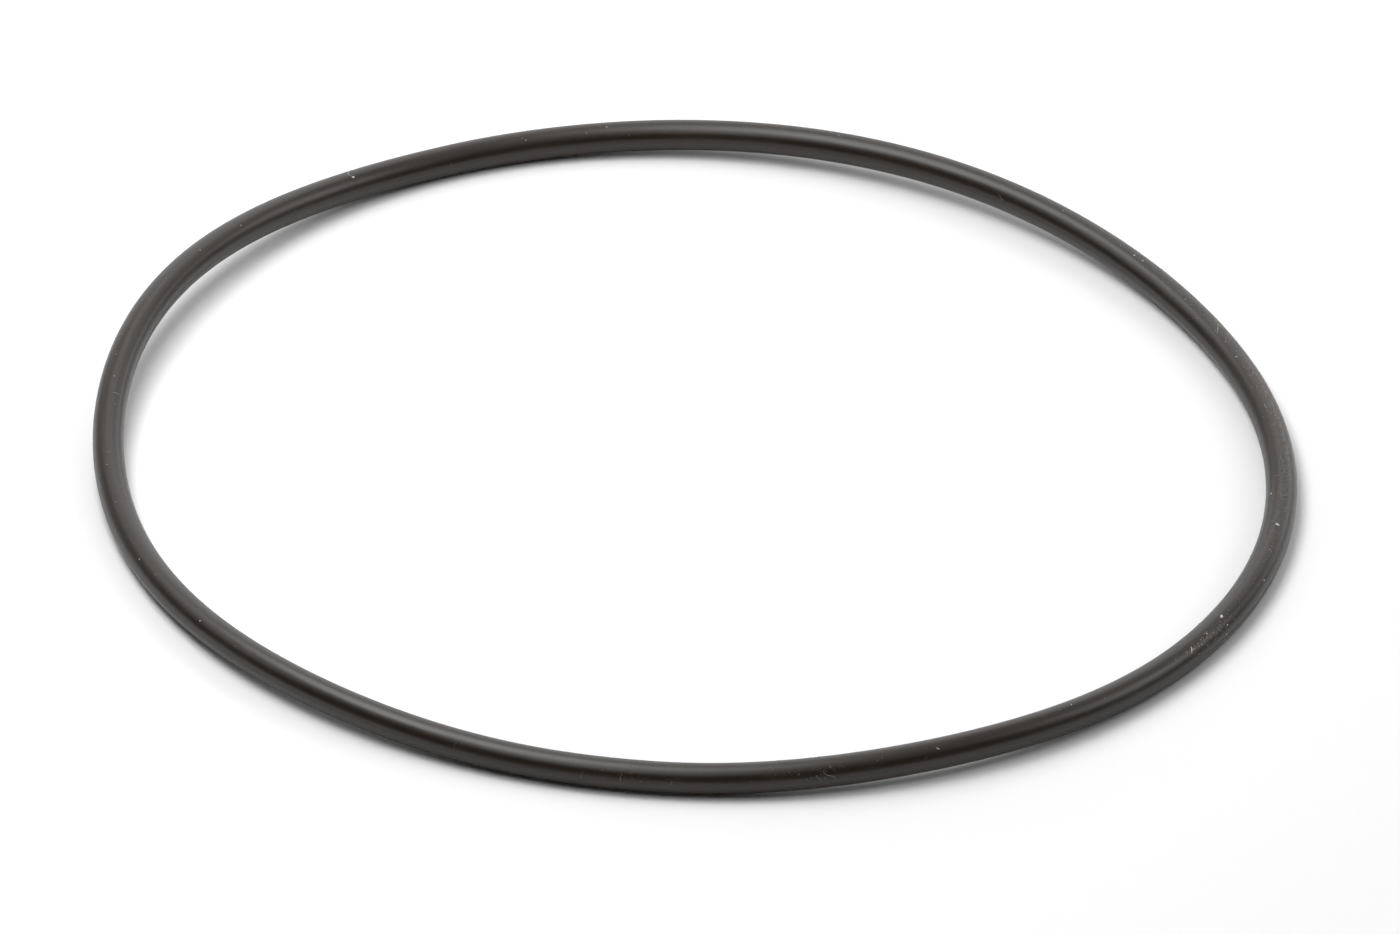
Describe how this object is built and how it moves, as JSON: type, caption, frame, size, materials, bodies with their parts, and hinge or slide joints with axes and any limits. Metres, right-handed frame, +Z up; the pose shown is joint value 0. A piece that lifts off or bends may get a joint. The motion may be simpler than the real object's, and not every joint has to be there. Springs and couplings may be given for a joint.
{
  "type": "rubber o-ring",
  "caption": "Closed ring of round-section black rubber, lying slightly out of round and arched off the surface in places, with a fine parting line inside and out.",
  "frame": {"origin": "on the surface that the ring lies on, under the middle of its outline", "axes": "+Z up from the surface, along the ring's own axis; -Y towards the side that the picture is taken from, +X to the right in the picture"},
  "size_m": [0.137, 0.1368, 0.0062],
  "materials": {
    "rubber": "satin black, moulded, with a little dust"
  },
  "bodies": {
    "root": {"o_ring": "rubber"}
  },
  "joints": []
}
